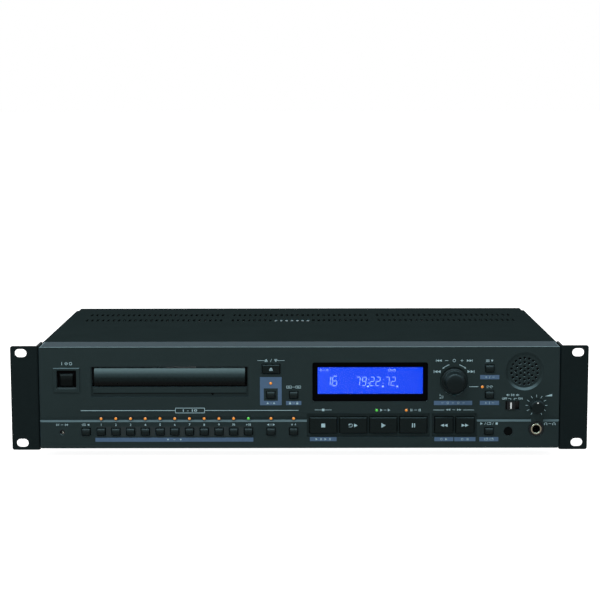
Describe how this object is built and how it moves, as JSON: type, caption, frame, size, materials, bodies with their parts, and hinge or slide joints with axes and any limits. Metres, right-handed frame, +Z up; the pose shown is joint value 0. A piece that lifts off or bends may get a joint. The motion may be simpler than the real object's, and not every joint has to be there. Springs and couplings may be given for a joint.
{
  "type": "rack-mount disc player",
  "caption": "Low, wide rack disc player with a sliding disc tray, display, lit keys, transport keys, dial, level knob, phones socket, speaker grille, rack ears and vented cover.",
  "frame": {"origin": "centre of the footprint, on the plane of the feet's undersides", "axes": "+X to the right seen from the front, +Y to the back, so the front panel faces -Y, +Z up"},
  "size_m": [0.4826, 0.284, 0.0945],
  "materials": {
    "panel_paint": "fine satin, dark slate",
    "ear_paint": "satin near-black paint",
    "cover_paint": "satin dark grey paint",
    "zinc_steel": "zinc plated sheet",
    "window": "clear window with a black border",
    "display": "lit blue display glass",
    "board": "green circuit board",
    "nickel": "nickel plated",
    "dark_plastic": "moulded near-black",
    "door_gloss": "glossy dark door",
    "knob": "satin dark knob",
    "key": "satin dark key",
    "foot_rubber": "black moulded rubber"
  },
  "bodies": {
    "housing": {"front_panel": "panel_paint", "rack_ear_left": "ear_paint", "rack_ear_right": "ear_paint", "top_cover": "cover_paint", "chassis": "zinc_steel", "rear_panel": "zinc_steel", "lcd_window": "window", "lcd_module": "display", "front_board": "board", "ir_window": "window", "phones_jack": "nickel", "speaker_driver": "dark_plastic", "loader_frame": "dark_plastic", "clamp_bridge": "zinc_steel", "main_board": "board", "power_supply": "board", "power_inlet": "dark_plastic", "balanced_socket_left": "nickel", "balanced_socket_right": "nickel", "foot_front_left": "foot_rubber", "foot_front_right": "foot_rubber", "foot_rear_left": "foot_rubber", "foot_rear_right": "foot_rubber"},
    "number_1_key": {"number_1_key": "key"},
    "number_2_key": {"number_2_key": "key"},
    "number_3_key": {"number_3_key": "key"},
    "number_4_key": {"number_4_key": "key"},
    "number_5_key": {"number_5_key": "key"},
    "number_6_key": {"number_6_key": "key"},
    "number_7_key": {"number_7_key": "key"},
    "number_8_key": {"number_8_key": "key"},
    "number_9_key": {"number_9_key": "key"},
    "number_10_key": {"number_10_key": "key"},
    "number_plus_10_key": {"number_plus_10_key": "key"},
    "clear_key": {"clear_key": "key"},
    "cue_key": {"cue_key": "key"},
    "flash_key": {"flash_key": "key"},
    "shift_key": {"shift_key": "key"},
    "display_key": {"display_key": "key"},
    "play_mode_key": {"play_mode_key": "key"},
    "menu_key": {"menu_key": "key"},
    "jog_key": {"jog_key": "key"},
    "open_close_key": {"open_close_key": "key"},
    "stop_key": {"stop_key": "key"},
    "call_key": {"call_key": "key"},
    "play_key": {"play_key": "key"},
    "pause_key": {"pause_key": "key"},
    "search_back_key": {"search_back_key": "key"},
    "search_forward_key": {"search_forward_key": "key"},
    "power_key": {"power_key": "key"},
    "push_spindle": {"push_spindle": "zinc_steel"},
    "dial_knob": {"dial_knob": "knob"},
    "level_knob": {"level_knob": "knob"},
    "switch_lever": {"switch_lever": "key"},
    "disc_tray": {"disc_tray": "dark_plastic", "tray_door": "door_gloss"},
    "traverse": {"traverse_deck": "zinc_steel"},
    "turntable": {"turntable": "dark_plastic"},
    "pickup_sled": {"pickup_sled": "dark_plastic"},
    "clamp_puck": {"clamp_puck": "dark_plastic"}
  },
  "joints": [
    {"name": "tray_slide", "type": "slide", "parent": "housing", "child": "disc_tray", "axis": [0, -1, 0], "range_m": [0, 0.128]},
    {"name": "traverse_lift", "type": "hinge", "parent": "housing", "child": "traverse", "pos_m": [-0.10843, 0.0205, 0.0519], "axis": [-1, 0, 0], "range_deg": [0, 5]},
    {"name": "pickup_slide", "type": "slide", "parent": "traverse", "child": "pickup_sled", "axis": [0, 0.9962, 0.0872], "range_m": [0, 0.034]},
    {"name": "turntable_spin", "type": "hinge", "parent": "traverse", "child": "turntable", "pos_m": [-0.10843, -0.06019, 0.04484], "axis": [0, -0.0872, 0.9962], "continuous": true},
    {"name": "clamp_spin", "type": "hinge", "parent": "housing", "child": "clamp_puck", "pos_m": [-0.10843, -0.0605, 0.0739], "axis": [0, 0, 1], "continuous": true},
    {"name": "dial_turn", "type": "hinge", "parent": "push_spindle", "child": "dial_knob", "pos_m": [0.12933, -0.135, 0.0647], "axis": [0, -1, 0], "continuous": true},
    {"name": "dial_push", "type": "slide", "parent": "housing", "child": "push_spindle", "axis": [0, 1, 0], "range_m": [0, 0.0006], "stiffness_N_per_m": 600},
    {"name": "level_turn", "type": "hinge", "parent": "housing", "child": "level_knob", "pos_m": [0.19845, -0.134, 0.0438], "axis": [0, -1, 0], "range_deg": [-150, 150]},
    {"name": "speaker_switch_slide", "type": "slide", "parent": "housing", "child": "switch_lever", "axis": [1, 0, 0], "range_m": [0, 0.0026]},
    {"name": "power_press", "type": "slide", "parent": "housing", "child": "power_key", "axis": [0, 1, 0], "range_m": [0, 0.0035], "stiffness_N_per_m": 300},
    {"name": "open_close_press", "type": "slide", "parent": "housing", "child": "open_close_key", "axis": [0, 1, 0], "range_m": [0, 0.0008], "stiffness_N_per_m": 400},
    {"name": "stop_press", "type": "slide", "parent": "housing", "child": "stop_key", "axis": [0, 1, 0], "range_m": [0, 0.0009], "stiffness_N_per_m": 400},
    {"name": "call_press", "type": "slide", "parent": "housing", "child": "call_key", "axis": [0, 1, 0], "range_m": [0, 0.0009], "stiffness_N_per_m": 400},
    {"name": "play_press", "type": "slide", "parent": "housing", "child": "play_key", "axis": [0, 1, 0], "range_m": [0, 0.0009], "stiffness_N_per_m": 400},
    {"name": "pause_press", "type": "slide", "parent": "housing", "child": "pause_key", "axis": [0, 1, 0], "range_m": [0, 0.0009], "stiffness_N_per_m": 400},
    {"name": "search_back_press", "type": "slide", "parent": "housing", "child": "search_back_key", "axis": [0, 1, 0], "range_m": [0, 0.0009], "stiffness_N_per_m": 400},
    {"name": "search_forward_press", "type": "slide", "parent": "housing", "child": "search_forward_key", "axis": [0, 1, 0], "range_m": [0, 0.0009], "stiffness_N_per_m": 400},
    {"name": "number_1_press", "type": "slide", "parent": "housing", "child": "number_1_key", "axis": [0, 1, 0], "range_m": [0, 0.0006], "stiffness_N_per_m": 400},
    {"name": "number_2_press", "type": "slide", "parent": "housing", "child": "number_2_key", "axis": [0, 1, 0], "range_m": [0, 0.0006], "stiffness_N_per_m": 400},
    {"name": "number_3_press", "type": "slide", "parent": "housing", "child": "number_3_key", "axis": [0, 1, 0], "range_m": [0, 0.0006], "stiffness_N_per_m": 400},
    {"name": "number_4_press", "type": "slide", "parent": "housing", "child": "number_4_key", "axis": [0, 1, 0], "range_m": [0, 0.0006], "stiffness_N_per_m": 400},
    {"name": "number_5_press", "type": "slide", "parent": "housing", "child": "number_5_key", "axis": [0, 1, 0], "range_m": [0, 0.0006], "stiffness_N_per_m": 400},
    {"name": "number_6_press", "type": "slide", "parent": "housing", "child": "number_6_key", "axis": [0, 1, 0], "range_m": [0, 0.0006], "stiffness_N_per_m": 400},
    {"name": "number_7_press", "type": "slide", "parent": "housing", "child": "number_7_key", "axis": [0, 1, 0], "range_m": [0, 0.0006], "stiffness_N_per_m": 400},
    {"name": "number_8_press", "type": "slide", "parent": "housing", "child": "number_8_key", "axis": [0, 1, 0], "range_m": [0, 0.0006], "stiffness_N_per_m": 400},
    {"name": "number_9_press", "type": "slide", "parent": "housing", "child": "number_9_key", "axis": [0, 1, 0], "range_m": [0, 0.0006], "stiffness_N_per_m": 400},
    {"name": "number_10_press", "type": "slide", "parent": "housing", "child": "number_10_key", "axis": [0, 1, 0], "range_m": [0, 0.0006], "stiffness_N_per_m": 400},
    {"name": "number_plus_10_press", "type": "slide", "parent": "housing", "child": "number_plus_10_key", "axis": [0, 1, 0], "range_m": [0, 0.0006], "stiffness_N_per_m": 400},
    {"name": "clear_press", "type": "slide", "parent": "housing", "child": "clear_key", "axis": [0, 1, 0], "range_m": [0, 0.0006], "stiffness_N_per_m": 400},
    {"name": "cue_press", "type": "slide", "parent": "housing", "child": "cue_key", "axis": [0, 1, 0], "range_m": [0, 0.0006], "stiffness_N_per_m": 400},
    {"name": "flash_press", "type": "slide", "parent": "housing", "child": "flash_key", "axis": [0, 1, 0], "range_m": [0, 0.0006], "stiffness_N_per_m": 400},
    {"name": "shift_press", "type": "slide", "parent": "housing", "child": "shift_key", "axis": [0, 1, 0], "range_m": [0, 0.0006], "stiffness_N_per_m": 400},
    {"name": "display_press", "type": "slide", "parent": "housing", "child": "display_key", "axis": [0, 1, 0], "range_m": [0, 0.0006], "stiffness_N_per_m": 400},
    {"name": "play_mode_press", "type": "slide", "parent": "housing", "child": "play_mode_key", "axis": [0, 1, 0], "range_m": [0, 0.0006], "stiffness_N_per_m": 400},
    {"name": "menu_press", "type": "slide", "parent": "housing", "child": "menu_key", "axis": [0, 1, 0], "range_m": [0, 0.0006], "stiffness_N_per_m": 400},
    {"name": "jog_press", "type": "slide", "parent": "housing", "child": "jog_key", "axis": [0, 1, 0], "range_m": [0, 0.0006], "stiffness_N_per_m": 400}
  ],
  "couplings": [
    {"joint": "clamp_spin", "follows": "turntable_spin", "ratio": 1}
  ]
}
